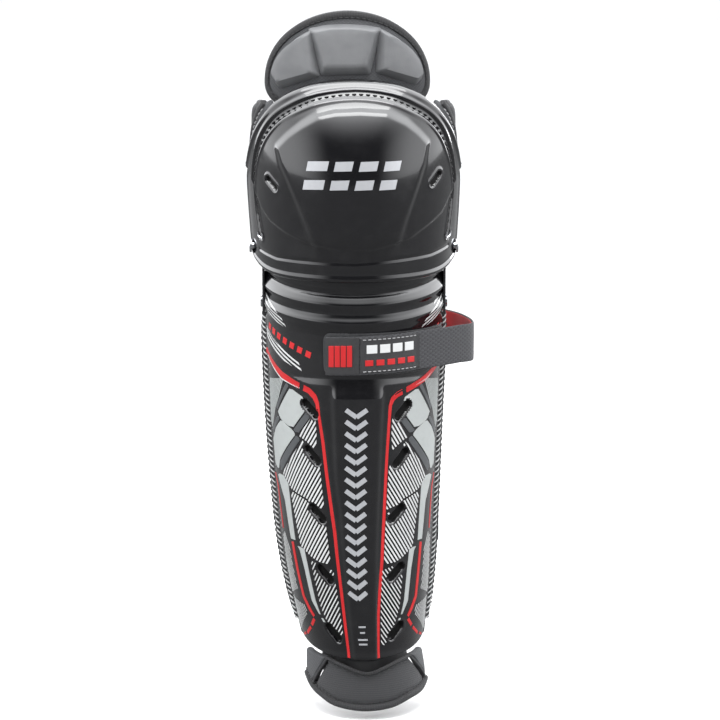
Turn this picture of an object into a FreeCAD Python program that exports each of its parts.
"""Hockey shin guard for a right leg, about 15 inches from kneecap to ankle.

Frame: millimetres, +Z up the leg, -Y to the front, -X to the outer (lateral) side of the leg.
The origin is on the leg's axis, level with the guard's lower edge.

Every padded or moulded layer is a band that wraps the leg.  A band's section at height z is part
of an ellipse, given by the guard's half width, its front, the height-wise drift of its middle and
the depth of its widest point.  A layer is a range of angles and a range of offsets from that
surface: 0 is the outside of the hard shell, positive is outwards and negative is towards the leg.
Angles are in degrees from the front: negative to the lateral side, positive to the medial side.
"""
import FreeCAD
import Part
import math
import os

V = FreeCAD.Vector
OUT = "parts"
SIDES = (("left", -1), ("right", 1))

# ---------------------------------------------------------------- driving dimensions (mm)
SHELL_THICK = 3.0
GAP = 0.5                      # play between neighbouring layers
FOAM_THICK = 7.5
LINER_THICK = 4.0

# Section tables: height z, half width, front y, y of the widest point, x of the middle.
SHIN_FORM = (
    (10.0, 39.5, -52.5, 0.0, 9.0),
    (40.0, 44.0, -57.0, 0.0, 7.0),
    (70.0, 49.0, -61.0, -1.0, 4.8),
    (110.0, 55.0, -65.5, -2.0, 2.2),
    (150.0, 58.5, -68.5, -3.0, 0.5),
    (220.0, 62.5, -71.5, -3.0, -0.8),
    (290.0, 65.5, -73.5, -3.0, -0.8),
    (335.0, 66.5, -74.0, -3.0, -0.8),
)
KNEE_FORM = (
    (320.0, 73.6, -85.5, -6.0, -0.8),
    (345.0, 75.0, -88.5, -6.0, -0.8),
    (375.0, 77.0, -90.5, -6.0, -1.0),
    (405.0, 78.5, -90.5, -7.0, -1.2),
    (425.0, 79.0, -88.0, -8.0, -1.2),
    (445.0, 79.0, -82.0, -10.0, -1.2),
    (460.0, 79.0, -73.0, -12.0, -1.2),
    (470.0, 79.0, -64.0, -13.0, -1.2),
    (478.0, 79.0, -54.5, -15.0, -1.2),
)
THIGH_FORM = (
    (435.0, 76.0, -50.0, -3.0, -5.6),
    (465.0, 76.0, -48.5, -2.0, -5.6),
    (495.0, 75.0, -45.0, 1.0, -5.6),
    (524.0, 74.0, -39.5, 4.0, -5.6),
)
ANKLE_FORM = (
    (0.0, 47.0, -58.5, 0.0, 10.0),
    (15.0, 47.0, -59.0, 0.0, 9.0),
    (30.0, 47.0, -58.5, 0.0, 8.0),
    (42.0, 46.0, -57.5, 0.0, 7.0),
    (55.0, 46.0, -57.5, 0.0, 6.2),
)

# Shin shell
SHIN_BOTTOM, SHIN_TOP = 45.0, 334.0
SHIN_SIDE_RISE = 6.0           # the lower edge rises this much towards the sides
SHIN_EDGE = 82.0               # the shell ends at this angle on each side
RIB_HEIGHTS = (299.0, 316.5)   # two moulded ribs below the knee cap
RIB_WIDE, RIB_PROUD, RIB_ANGLE = 9.0, 2.4, 62.0
SPINE_TOP, SPINE_PROUD = 243.0, 2.6
SPINE_TOP_X, SPINE_BOTTOM_X = (-15.5, 17.5), (-3.5, 17.0)
VENT_LONG, VENT_WIDE, VENT_SLANT = 21.0, 6.0, 50.0
VENTS_LEFT = ((-33.0, 229.0), (-31.0, 194.0), (-27.5, 151.0), (-22.0, 105.0), (-16.0, 60.0))
VENTS_RIGHT = ((35.0, 228.0), (33.5, 192.0), (30.5, 151.0), (30.0, 106.5), (30.0, 61.0))

# Knee cap shell
CAP_BOTTOM, CAP_TOP = 330.0, 475.0
CAP_OUTLINE = ((73.0, 335.0), (75.8, 350.0), (77.5, 383.0), (77.0, 404.0), (73.5, 429.0),
               (67.0, 444.0), (55.5, 459.0), (40.0, 468.5), (21.0, 473.0))
SHIELD_CORNER, SHIELD_APEX, SHIELD_FOOT = (51.0, 426.0), (0.0, 451.0), (28.0, 356.0)
SHIELD_PROUD = 2.6
CAP_VENT_X, CAP_VENT_Z = 58.5, 402.0
CAP_VENT_LONG, CAP_VENT_WIDE, CAP_VENT_SLANT = 16.0, 5.0, 48.0

# Knee joint: rivets through the cap and through tabs that stand on the shin shell
PIVOT_Y, PIVOT_Z = -20.0, 350.0
RIVET_R, RIVET_HEAD_R, RIVET_HEAD_THICK = 2.5, 5.0, 1.6
TAB_THICK, TAB_WIDE, TAB_FOOT_Z, TAB_RIVET_Z = 1.5, 13.0, 300.0, 309.0
RUNNING = 0.06                 # radial play of a rivet in the tab that turns on it

# Thigh guard
THIGH_HALF_WIDE, THIGH_TOP, THIGH_WIDEST_Z = 62.0, 523.0, 473.0
THIGH_FOOT_HALF, THIGH_FOOT_Z = 30.0, 441.0
THIGH_BASE_THICK, THIGH_BLOCK_PROUD, THIGH_LINER_THICK = 7.0, 7.5, 2.5
THIGH_BORDER = 6.0             # binding tape's width round the edge
BLOCK_FOOT_Z = 479.0
BLOCK_GROOVE = ((-21.0, -27.5), (11.5, 16.5))   # x of each groove at the foot and at the top

# Side wings of the calf
WING_START, WING_END = 88.0, 126.0
WING_BOTTOM, WING_TOP = 58.0, 303.0
WING_OUT, WING_IN = 4.3, -6.5
WING_LINING = 2.0

# Ankle guard
ANKLE_BOTTOM, ANKLE_TOP = 2.0, 48.0
ANKLE_TONGUE_IN, ANKLE_TONGUE_OUT = -17.5, -11.6
ANKLE_PANEL_IN, ANKLE_PANEL_OUT = -7.0, 0.0
ANKLE_SIDE_RISE = 12.0

# Straps
WEB_THICK, LINING_THICK = 1.6, 0.8
ANCHOR_GAP = 1.3                                  # room between a wing's lining and a strap's root
LOCK_LOW, LOCK_HIGH = 263.0, 291.0
LOCK_START, LOCK_LEAVE = -17.0, 42.0            # angles where it lies on the shell
LOCK_BEND = (84.5, -27.0)
CALF_LOW, CALF_HIGH = 118.0, 150.0


# ---------------------------------------------------------------- section geometry
def along(table, z):
    """The section's four values at height z, by a smooth curve through the table's rows."""
    rows = list(table)
    if z <= rows[0][0]:
        return rows[0][1:]
    if z >= rows[-1][0]:
        return rows[-1][1:]
    i = max(k for k in range(len(rows) - 1) if rows[k][0] <= z)

    def slope(k, c):
        lo, hi = max(k - 1, 0), min(k + 1, len(rows) - 1)
        return (rows[hi][c] - rows[lo][c]) / (rows[hi][0] - rows[lo][0])

    step = rows[i + 1][0] - rows[i][0]
    t = (z - rows[i][0]) / step
    values = []
    for c in range(1, 5):
        p, q = rows[i][c], rows[i + 1][c]
        m, n = slope(i, c) * step, slope(i + 1, c) * step
        values.append(p + t * (m + t * (3 * (q - p) - 2 * m - n + t * (2 * (p - q) + m + n))))
    return values


def point(form, angle, z, offset=0.0):
    """A point on a form's surface, offset outwards."""
    half, front, side, middle = along(form, z)
    a = math.radians(angle)
    x = middle + (half + offset) * math.sin(a)
    y = side - (side - front + offset) * math.cos(a)
    return V(x, y, z)


def smooth_edge(points):
    curve = Part.BSplineCurve()
    curve.interpolate(points)
    return curve.toShape()


def band_wire(form, z, start, end, inner, outer):
    """The closed outline of a band's section at height z."""
    count = max(5, int(abs(end - start) / 14) + 2)
    angles = [start + (end - start) * k / (count - 1) for k in range(count)]
    outside = [point(form, a, z, outer) for a in angles]
    inside = [point(form, a, z, inner) for a in reversed(angles)]
    return Part.Wire([smooth_edge(outside), Part.makeLine(outside[-1], inside[0]),
                      smooth_edge(inside), Part.makeLine(inside[-1], outside[0])])


def band(form, low, high, start, end, inner, outer, levels=9):
    """A layer of a form between two heights, two angles and two offsets."""
    heights = [low + (high - low) * k / (levels - 1) for k in range(levels)]
    wires = [band_wire(form, z, start, end, inner, outer) for z in heights]
    return Part.makeLoft(wires, True, False)


def front_prism(edges_or_points, back=120.0, front=-140.0):
    """A prism through the guard whose front view is the closed outline given."""
    if isinstance(edges_or_points[0], tuple):
        pts = [V(x, front, z) for x, z in edges_or_points]
        wire = Part.makePolygon(pts + [pts[0]])
    else:
        wire = Part.Wire(edges_or_points)
    return Part.Face(wire).extrude(V(0, back - front, 0))


def slot_prism(x, z, long, wide, slant):
    """A front-to-back cutter with round ends; slant is the slot's angle above the X axis."""
    r = wide / 2
    half = long / 2 - r
    box = Part.makeBox(2 * half, 140, wide, V(-half, -140, -r))
    ends = [Part.makeCylinder(r, 140, V(s * half, -140, 0), V(0, 1, 0)) for s in (-1, 1)]
    slot = box.fuse(ends).removeSplitter()
    slot.rotate(V(0, 0, 0), V(0, -1, 0), slant)
    slot.translate(V(x, 0, z))
    return slot


def strip(points, low, high, inner, outer, first=0, last=None):
    """A band of webbing that stands on edge: its plan follows the points, shifted to the right of
    the way they run by inner and by outer.  It runs from the first point to the last one named."""
    def shifted(offset):
        moved = []
        for i, p in enumerate(points):
            a, b = points[max(i - 1, 0)], points[min(i + 1, len(points) - 1)]
            dx, dy = b[0] - a[0], b[1] - a[1]
            length = math.hypot(dx, dy)
            moved.append(V(p[0] + dy / length * offset, p[1] - dx / length * offset, low))
        return moved

    last = len(points) - 1 if last is None else last
    ends, edges = [], []
    for run in (shifted(inner), shifted(outer)):
        curve = Part.BSplineCurve()
        curve.interpolate(run)
        curve.segment(curve.parameter(run[first]), curve.parameter(run[last]))
        edges.append(curve.toShape())
        ends.append((run[first], run[last]))
    wire = Part.Wire([edges[0], Part.makeLine(ends[0][1], ends[1][1]),
                      edges[1].reversed(), Part.makeLine(ends[1][0], ends[0][0])])
    return Part.Face(wire).extrude(V(0, 0, high - low))


def save(name, shape):
    """Writes a node, after checking that it is closed solids."""
    solids = shape.Solids
    kept = solids[0] if len(solids) == 1 else Part.makeCompound(solids)
    if not solids or not kept.isValid():
        raise ValueError(name + " is not a valid solid")
    kept.exportStep(os.path.join(OUT, name + ".step"))
    print(f"{name}: {len(solids)} solid(s), {kept.Volume / 1000:.1f} cm3")


# ---------------------------------------------------------------- shin
def shin_lower_edge():
    """Front-view outline of the shin shell, whose lower edge rises to the sides."""
    middle = along(SHIN_FORM, SHIN_BOTTOM)[3]
    low, side = SHIN_BOTTOM, SHIN_BOTTOM + SHIN_SIDE_RISE
    left, right = V(middle - 60, -140, side + 3), V(middle + 60, -140, side + 3)
    arc = Part.Arc(left, V(middle, -140, low), right).toShape()
    top_right, top_left = V(middle + 110, -140, 400), V(middle - 110, -140, 400)
    return front_prism([arc, Part.makeLine(right, top_right), Part.makeLine(top_right, top_left),
                        Part.makeLine(top_left, left)])


def shin_shell():
    """The moulded shell: ribs below the knee, a raised spine and two rows of vents."""
    low = SHIN_BOTTOM - 4
    shell = band(SHIN_FORM, low, SHIN_TOP, -SHIN_EDGE, SHIN_EDGE, -SHELL_THICK, 0.0, 12)
    for z in RIB_HEIGHTS:
        half = RIB_WIDE / 2
        rib = band(SHIN_FORM, z - half, z + half, -RIB_ANGLE, RIB_ANGLE, -1.5, RIB_PROUD, 4)
        shell = shell.fuse(rib)
    bottom = SHIN_BOTTOM - 8
    outline = ((SPINE_TOP_X[0], SPINE_TOP), (SPINE_TOP_X[1], SPINE_TOP),
               (SPINE_BOTTOM_X[1], bottom), (SPINE_BOTTOM_X[0], bottom))
    raised = band(SHIN_FORM, bottom, SPINE_TOP + 8, -30, 40, -1.5, SPINE_PROUD, 9)
    shell = shell.fuse(raised.common(front_prism(outline, back=0.0)))
    shell = shell.common(shin_lower_edge())
    for side, rows in ((1, VENTS_LEFT), (-1, VENTS_RIGHT)):
        for x, z in rows:
            shell = shell.cut(slot_prism(x, z, VENT_LONG, VENT_WIDE, -side * VENT_SLANT))
    return shell.cut(Part.makeCylinder(RIVET_R, 200, V(-100, PIVOT_Y, TAB_RIVET_Z), V(1, 0, 0)))


def foam_levels():
    """Offsets of the layers under the shell: foam, hook patches, then liner."""
    foam_out = -SHELL_THICK - GAP
    foam_in = foam_out - FOAM_THICK
    patch_in = foam_in - 0.2 - 1.0
    liner_out = patch_in - 0.2
    return foam_out, foam_in, patch_in, liner_out


def build_shin():
    foam_out, foam_in, patch_in, liner_out = foam_levels()
    save("shin_shell", shin_shell())
    save("shin_foam", band(SHIN_FORM, 51, 318, -56, 56, foam_in, foam_out))
    for name, sign in SIDES:
        save("side_foam_" + name,
             band(SHIN_FORM, 66, 316, sign * 58, sign * 83, foam_in, foam_out))
        save("shin_liner_edge_" + name,
             band(SHIN_FORM, 66, 314, sign * 62, sign * 83,
                  liner_out - LINER_THICK, liner_out))
    patches = [band(SHIN_FORM, z, z + 38, a - 14, a + 14, patch_in, foam_in - 0.2, 4)
               for z in (90, 240) for a in (-30, 30)]
    save("liner_hook_patches", Part.makeCompound(patches))
    save("shin_liner", band(SHIN_FORM, 62, 320, -60, 60, liner_out - LINER_THICK, liner_out))
    save("strap_landing_patch",
         band(SHIN_FORM, LOCK_LOW - 2.0, LOCK_HIGH + 2.0, -20, 78, 0.15, 1.5, 4))


# ---------------------------------------------------------------- knee
def mirrored_outline(points, middle, low):
    """Closed front-view outline through the points on the right and their mirror on the left."""
    right = [V(middle + x, -140, z) for x, z in points]
    left = [V(middle - x, -140, z) for x, z in points]
    arch = smooth_edge(right + left[::-1])
    foot_r, foot_l = V(right[0].x, -140, low), V(left[0].x, -140, low)
    return front_prism([arch, Part.makeLine(left[0], foot_l), Part.makeLine(foot_l, foot_r),
                        Part.makeLine(foot_r, right[0])])


def knee_cap_shell():
    """The domed cap: a raised shield in the middle, one vent and one rivet hole on each side."""
    middle = KNEE_FORM[4][4]
    cap = band(KNEE_FORM, CAP_BOTTOM, CAP_TOP + 2, -89, 89, -SHELL_THICK, 0.0, 12)
    cap = cap.common(mirrored_outline(CAP_OUTLINE, middle, CAP_BOTTOM - 5))
    corner, apex, foot = SHIELD_CORNER, SHIELD_APEX, SHIELD_FOOT
    arc = Part.Arc(V(middle - corner[0], -140, corner[1]), V(middle, -140, apex[1]),
                   V(middle + corner[0], -140, corner[1])).toShape()
    ends = [V(middle + corner[0], -140, corner[1]), V(middle + foot[0], -140, foot[1]),
            V(middle + foot[0], -140, CAP_BOTTOM), V(middle - foot[0], -140, CAP_BOTTOM),
            V(middle - foot[0], -140, foot[1]), V(middle - corner[0], -140, corner[1])]
    sides = [Part.makeLine(ends[k], ends[k + 1]) for k in range(len(ends) - 1)]
    shield = band(KNEE_FORM, CAP_BOTTOM, 464, -60, 60, -1.5, SHIELD_PROUD, 10)
    cap = cap.fuse(shield.common(front_prism([arc] + sides, back=-20.0)))
    for _, sign in SIDES:
        cap = cap.cut(slot_prism(middle + sign * CAP_VENT_X, CAP_VENT_Z,
                                 CAP_VENT_LONG, CAP_VENT_WIDE, sign * CAP_VENT_SLANT))
    hole = Part.makeCylinder(RIVET_R + RUNNING / 2, 200, V(-100, PIVOT_Y, PIVOT_Z), V(1, 0, 0))
    return cap.cut(hole)


def tab_face_x(sign):
    """Inner face of the hinge tab: just outside the shin shell at the tab's rear edge."""
    half, front, side, middle = along(SHIN_FORM, SHIN_TOP)
    share = (side - PIVOT_Y - TAB_WIDE / 2) / (side - front)
    return middle + sign * (half * math.sqrt(1 - share * share) + 0.4)


def cap_face_x(sign):
    """Outer face of the cap at the rear of the rivet's head."""
    half, front, side, middle = along(KNEE_FORM, PIVOT_Z + RIVET_HEAD_R)
    share = (side - PIVOT_Y - RIVET_HEAD_R) / (side - front)
    return middle + sign * half * math.sqrt(1 - share * share)


def x_disc(x, sign, radius, thick, y, z):
    return Part.makeCylinder(radius, thick, V(x, y, z), V(sign, 0, 0))


def build_knee():
    foam_out, foam_in, _, liner_out = foam_levels()
    middle = KNEE_FORM[4][4]
    save("knee_cap_shell", knee_cap_shell())
    inset = [(x - 6, z - 6 if z > 400 else z + 12) for x, z in CAP_OUTLINE]
    inside = mirrored_outline(inset, middle, 341)
    save("knee_foam", band(KNEE_FORM, 341, 462, -57, 57, foam_in, foam_out).common(inside))
    knee_liner = band(KNEE_FORM, 344, 452, -62, 62, foam_in - 0.5 - LINER_THICK, foam_in - 0.5)
    save("knee_liner", knee_liner.common(inside))
    ear = ((70.5, 344.0), (74.0, 365.0), (74.5, 400.0), (74.0, 425.0), (71.5, 440.0),
           (66.0, 448.0), (57.0, 452.0), (44.0, 452.5))
    ear_prism = mirrored_outline(ear, middle, 342)
    for name, sign in SIDES:
        pad = band(KNEE_FORM, 342, 456, sign * 80, sign * 122, -14.0, -3.6, 8)
        pad = pad.cut(Part.makeBox(200, 100, 40, V(-100, -99, 320)))
        save("knee_side_pad_" + name, pad.common(ear_prism))

        face, skin = tab_face_x(sign), cap_face_x(sign)
        lower = min(face, face + sign * TAB_THICK)
        tab = Part.makeBox(TAB_THICK, TAB_WIDE, PIVOT_Z - TAB_FOOT_Z,
                           V(lower, PIVOT_Y - TAB_WIDE / 2, TAB_FOOT_Z))
        tab = tab.fuse(x_disc(face, sign, TAB_WIDE / 2, TAB_THICK, PIVOT_Y, PIVOT_Z))
        tab = tab.cut(x_disc(face - sign, sign, RIVET_R + RUNNING, 6, PIVOT_Y, PIVOT_Z))
        foot_hole = x_disc(face - sign, sign, RIVET_R, 6, PIVOT_Y, TAB_RIVET_Z)
        save("hinge_tab_" + name, tab.removeSplitter().cut(foot_hole))

        pin = x_disc(face - sign * 1.4, sign, RIVET_R, abs(skin - face) + 1.8, PIVOT_Y, PIVOT_Z)
        head = x_disc(skin + sign * 0.2, sign, RIVET_HEAD_R, RIVET_HEAD_THICK, PIVOT_Y, PIVOT_Z)
        rim = [e for e in head.Edges if e.Length > 20 and sign * (e.BoundBox.Center.x - skin) > 1]
        head = head.makeFillet(0.7, [e for e in rim if e.BoundBox.XLength < 0.1])
        collar = x_disc(face - sign * 0.3, -sign, RIVET_HEAD_R, 1.2, PIVOT_Y, PIVOT_Z)
        save("knee_pivot_rivet_" + name, pin.fuse([head, collar]).removeSplitter())


def build_tab_rivets():
    """The rivets that hold the hinge tabs to the shin shell, each in its own hole."""
    rivets = []
    for _, sign in SIDES:
        face = tab_face_x(sign)
        outside = face + sign * (TAB_THICK + 0.1)
        pin = x_disc(outside, -sign, RIVET_R - 0.05, 5.4, PIVOT_Y, TAB_RIVET_Z)
        head = x_disc(outside, sign, RIVET_HEAD_R - 0.5, 1.3, PIVOT_Y, TAB_RIVET_Z)
        rivets.append(pin.fuse(head).removeSplitter())
    save("hinge_tab_rivets", Part.makeCompound(rivets))


# ---------------------------------------------------------------- thigh
def thigh_outline(shrink):
    """Front view of the thigh pad: half an ellipse above its widest line, tapering below."""
    middle = THIGH_FORM[0][4]
    half, rise = THIGH_HALF_WIDE - shrink, THIGH_TOP - THIGH_WIDEST_Z - shrink
    steps = 9
    arch = [V(middle + half * math.cos(math.pi * k / (steps - 1)), -140,
              THIGH_WIDEST_Z + rise * math.sin(math.pi * k / (steps - 1))) for k in range(steps)]
    foot = THIGH_FOOT_Z + shrink
    right, left = V(middle + THIGH_FOOT_HALF, -140, foot), V(middle - THIGH_FOOT_HALF, -140, foot)
    shoulder_r = V(middle + half - 1.5, -140, THIGH_WIDEST_Z - 12)
    shoulder_l = V(middle - half + 1.5, -140, THIGH_WIDEST_Z - 12)
    return [smooth_edge([shoulder_r] + arch + [shoulder_l]), Part.makeLine(shoulder_l, left),
            Part.makeLine(left, right), Part.makeLine(right, shoulder_r)]


def build_thigh():
    low, high = THIGH_FOOT_Z - 4, THIGH_TOP + 1.5
    inner_prism = front_prism(thigh_outline(THIGH_BORDER))
    outer_prism = front_prism(thigh_outline(0.0))
    base_in = -THIGH_BASE_THICK
    base = band(THIGH_FORM, low, high, -66, 66, base_in, 0.0, 6)
    save("thigh_pad_base", base.common(inner_prism))
    lining = band(THIGH_FORM, low, high, -66, 66, base_in - 0.2 - THIGH_LINER_THICK,
                  base_in - 0.2, 6)
    save("thigh_pad_lining", lining.common(inner_prism))
    tape = band(THIGH_FORM, low, high, -66, 66, base_in - 1.5, 1.2, 6).common(outer_prism)
    save("thigh_binding", tape.cut(front_prism(thigh_outline(THIGH_BORDER - 0.3))))
    raised = band(THIGH_FORM, BLOCK_FOOT_Z - 12, high, -62, 62, 0.15, THIGH_BLOCK_PROUD, 5)
    raised = raised.common(front_prism(thigh_outline(THIGH_BORDER + 2.5)))
    middle = THIGH_FORM[0][4]
    (left_foot, left_top), (right_foot, right_top) = BLOCK_GROOVE
    groove, far, top = 2.6, 80.0, 530.0
    foot = BLOCK_FOOT_Z
    outlines = {
        "left": ((-far, foot - 14), (left_foot - groove, foot + 1), (left_top - groove, top),
                 (-far, top)),
        "centre": ((left_foot + groove, foot + 1), (right_foot - groove, foot + 1),
                   (right_top - groove, top), (left_top + groove, top)),
        "right": ((right_foot + groove, foot + 1), (far, foot - 14), (far, top),
                  (right_top + groove, top)),
    }
    for name, outline in outlines.items():
        placed = tuple((middle + x, z) for x, z in outline)
        save("thigh_block_" + name, raised.common(front_prism(placed)))


# ---------------------------------------------------------------- wings
def build_wings():
    for (name, sign) in (("lateral", -1), ("medial", 1)):
        start, end = sign * WING_START, sign * WING_END
        save(name + "_wing_pad",
             band(SHIN_FORM, WING_BOTTOM, WING_TOP, start, end, WING_IN, WING_OUT))
        inside = WING_IN - 0.2
        save(name + "_wing_lining",
             band(SHIN_FORM, WING_BOTTOM + 4, WING_TOP - 4, start + sign * 2, end - sign * 2,
                  inside - WING_LINING, inside))
    save("calf_strap_loop_patch",
         band(SHIN_FORM, CALF_LOW - 2, CALF_HIGH + 2, 107, 125, WING_OUT + 0.15, WING_OUT + 1.3, 4))


# ---------------------------------------------------------------- ankle
def ankle_outline(bottom, top_points, inset=0.0):
    """Front view of an ankle piece: a round lower edge, straight sides and the top given."""
    middle = ANKLE_FORM[1][4]
    left, right = middle - 60, middle + 60
    side = bottom + ANKLE_SIDE_RISE + 3
    arc = Part.Arc(V(left, -140, side + 8), V(middle, -140, bottom + inset),
                   V(right, -140, side + 8)).toShape()
    top = [V(x, -140, z) for x, z in top_points]
    chain = [V(right, -140, side + 8)] + top + [V(left, -140, side + 8)]
    return [arc] + [Part.makeLine(chain[k], chain[k + 1]) for k in range(len(chain) - 1)]


def build_ankle():
    middle = ANKLE_FORM[1][4]
    flat_top = [(middle + 70, 80.0), (middle - 70, 80.0)]
    body = front_prism(ankle_outline(ANKLE_BOTTOM + 2.5, flat_top))
    tongue = band(ANKLE_FORM, 0, ANKLE_TOP, -76, 76, ANKLE_TONGUE_IN, ANKLE_TONGUE_OUT, 6)
    save("ankle_tongue", tongue.common(body))
    panel = band(ANKLE_FORM, 0, 50, -72, 72, ANKLE_PANEL_IN, ANKLE_PANEL_OUT, 6)
    neck = [(middle + 70, 44.5), (middle + 31, 43.5), (middle + 14, 36.5), (middle, 33.5),
            (middle - 14, 36.5), (middle - 26, 42.5), (middle - 70, 43.5)]
    front = panel.common(front_prism(ankle_outline(ANKLE_BOTTOM + 2.5, neck)))
    seam_right = ((middle + 32, 60), (middle + 48, 0), (middle + 90, 0), (middle + 90, 60))
    seam_left = ((middle - 24, 60), (middle - 44, 0), (middle - 90, 0), (middle - 90, 60))
    for name, seam in (("left", seam_left), ("right", seam_right)):
        save("ankle_side_panel_" + name, front.common(front_prism(seam)))
    grown = [tuple((x - s * 0.4, z) for x, z in seam)
             for s, seam in ((1, seam_right), (-1, seam_left))]
    for seam in grown:
        front = front.cut(front_prism(seam))
    save("ankle_front_panel", front)
    tape = band(ANKLE_FORM, 0, 42, -76, 76, ANKLE_TONGUE_IN, ANKLE_PANEL_OUT + 1.0, 6)
    tape = tape.common(front_prism(ankle_outline(ANKLE_BOTTOM, flat_top)))
    tape = tape.cut(front_prism(ankle_outline(ANKLE_BOTTOM + 2.3, flat_top)))
    save("ankle_binding", tape)


# ---------------------------------------------------------------- straps
def anchor_web(low, high):
    """A strap's sewn root: webbing from the side foam's edge along the inside of the wing."""
    inside = WING_IN - 0.2 - WING_LINING - ANCHOR_GAP
    return band(SHIN_FORM, low, high, -SHIN_EDGE - 2, -WING_END, inside - WEB_THICK, inside, 4)


def build_lock_strap():
    """The upper strap: a front end that lies on the shell, a bend beside it, and a rear band."""
    high, lift = LOCK_HIGH, 2.0
    steps = 7
    on_shell = [point(SHIN_FORM, LOCK_START + (LOCK_LEAVE - LOCK_START) * k / (steps - 1),
                      high, lift) for k in range(steps)]
    bend_x, bend_y = LOCK_BEND
    front = [(p.x, p.y) for p in on_shell] + [(63.0, -47.5), (76.0, -38.5), (83.2, -31.5)]
    inner, mid, outer = 0.0, LINING_THICK, LINING_THICK + WEB_THICK
    save("lock_strap_front", strip(front, LOCK_LOW, high, mid + 0.2, outer + 0.2))
    save("lock_strap_front_lining", strip(front, LOCK_LOW + 1, high - 1, inner, mid, first=5))
    save("lock_strap_hook_pad", strip(front, LOCK_LOW + 1, high - 1, inner, mid, last=4))
    save("lock_strap_label",
         strip(front, LOCK_LOW + 2, high - 2, outer + 0.4, outer + 1.2, first=2, last=6))
    bars = []
    for k in range(4):
        ends = [point(SHIN_FORM, a, high, lift) for a in (-15.0 + 4.2 * k, -12.4 + 4.2 * k)]
        bars.append(strip([(p.x, p.y) for p in ends], LOCK_LOW + 4, high - 6,
                          outer + 0.4, outer + 1.0))
    save("lock_strap_end_bars", Part.makeCompound(bars))
    rear = [(bend_x, bend_y), (85.5, -18.0), (84.5, -4.0), (81.0, 16.0), (75.0, 37.0),
            (63.0, 58.0), (44.0, 73.0), (20.0, 80.0), (-6.0, 78.0), (-27.0, 67.0),
            (-38.0, 52.0), (-41.0, 36.5)]
    save("lock_strap_rear", strip(rear, LOCK_LOW, high, mid + 0.2, outer + 0.2))
    save("lock_strap_rear_lining",
         strip(rear, LOCK_LOW + 1, high - 1, inner, mid, last=len(rear) - 2))
    save("lock_strap_anchor", anchor_web(LOCK_LOW + 2, high - 2))


def build_calf_strap():
    """The lower strap: a band behind the calf, hooked to the rear of the medial wing."""
    ends = [point(SHIN_FORM, a, CALF_HIGH, WING_OUT + 2.6) for a in (111, 118, 125)]
    rear = [(p.x, p.y) for p in ends] + [(35.0, 53.0), (14.0, 62.0), (-8.0, 61.0), (-26.0, 49.0),
                                         (-33.5, 36.0)]
    save("calf_strap_band", strip(rear, CALF_LOW, CALF_HIGH, 1.0, 2.6))
    save("calf_strap_hook_pad", strip(rear, CALF_LOW + 1, CALF_HIGH - 1, 0.0, 0.8, last=2))
    save("calf_strap_anchor", anchor_web(CALF_LOW + 2, CALF_HIGH - 2))


os.makedirs(OUT, exist_ok=True)
build_shin()
build_knee()
build_tab_rivets()
build_thigh()
build_wings()
build_ankle()
build_lock_strap()
build_calf_strap()
